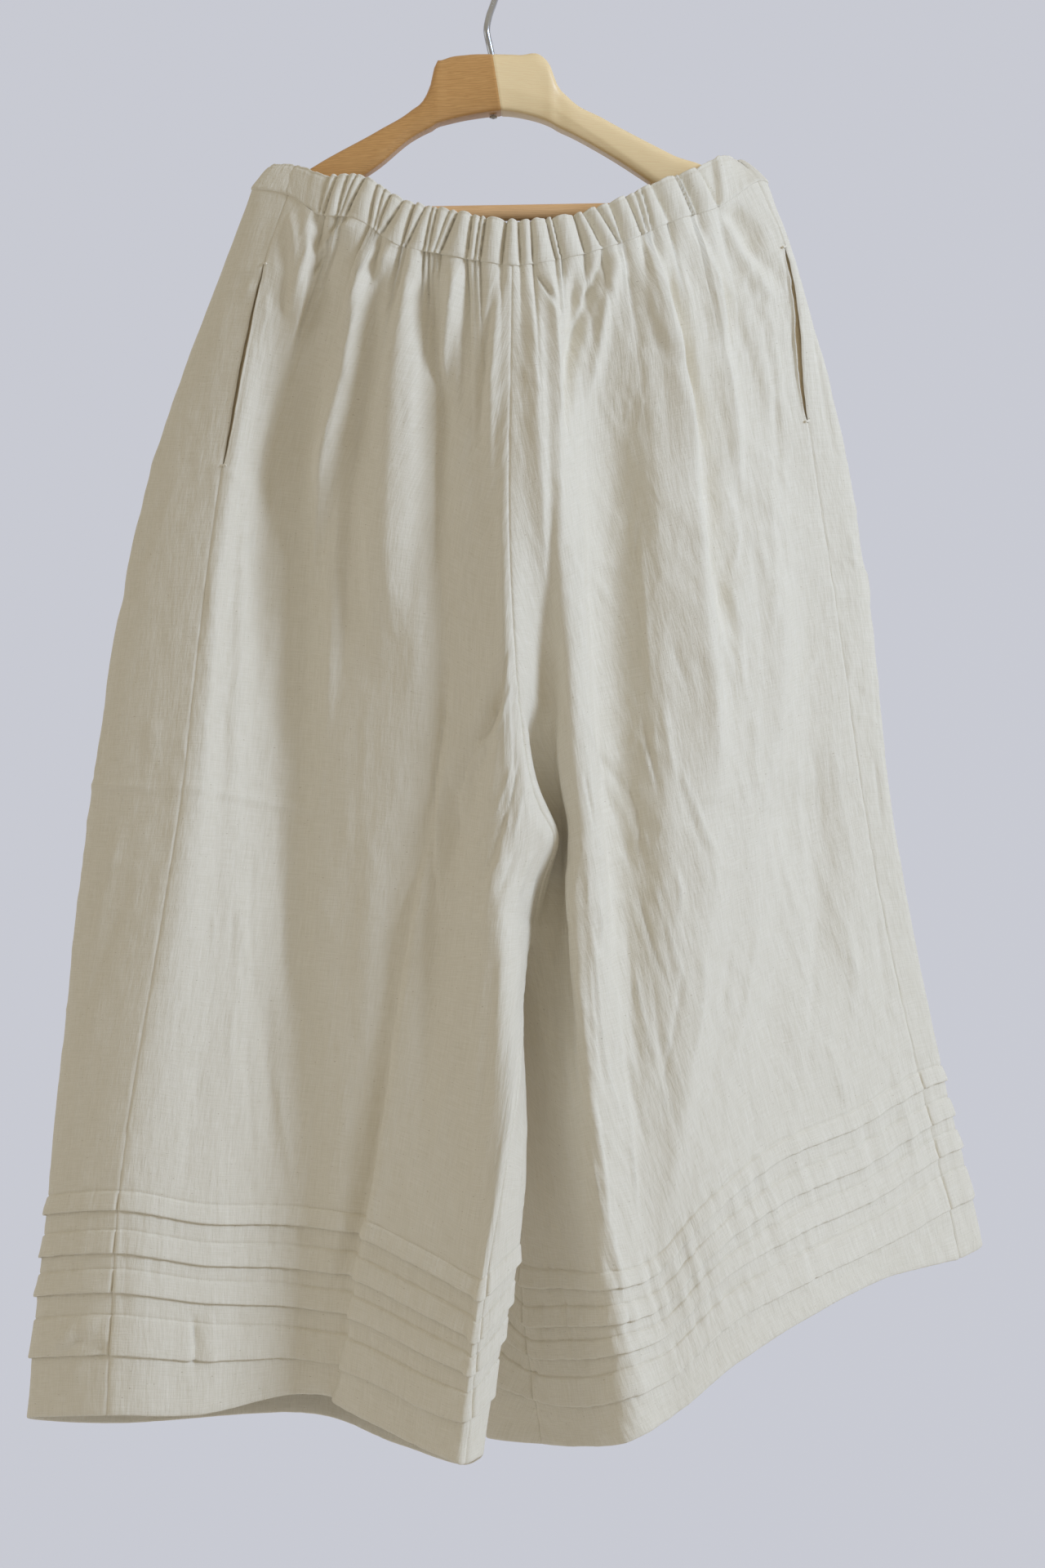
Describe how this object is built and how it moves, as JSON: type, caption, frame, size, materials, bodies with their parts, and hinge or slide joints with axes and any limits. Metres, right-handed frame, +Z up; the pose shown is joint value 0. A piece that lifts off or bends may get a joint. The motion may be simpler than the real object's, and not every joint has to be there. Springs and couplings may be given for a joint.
{
  "type": "culottes on a wooden hanger",
  "caption": "Wide cropped culottes in slubby natural cloth with an elastic gathered waist, side seam pockets and tucked hems, hung by the waist on a contoured wooden hanger.",
  "frame": {"origin": "inside top of the hanger's hook, where it rests on a rail or peg", "axes": "+X to the right of someone who faces the front of the garment, +Y away from them, +Z up"},
  "size_m": [0.6908, 0.2678, 1.0583],
  "materials": {
    "cloth": "matt slubby plain weave, undyed cotton and linen",
    "pocket_cloth": "matt plain weave",
    "arms_wood": "satin varnish",
    "bar_wood": "satin varnish",
    "steel": "polished wire"
  },
  "bodies": {
    "root": {"front_left_panel": "cloth", "front_right_panel": "cloth", "back_left_panel": "cloth", "back_right_panel": "cloth", "front_waistband": "cloth", "back_waistband": "cloth", "pocket_bag_left": "pocket_cloth", "pocket_bag_right": "pocket_cloth", "hanger_arms": "arms_wood", "hanger_bar": "bar_wood", "hanger_hook": "steel", "hanger_screw": "steel"}
  },
  "joints": []
}
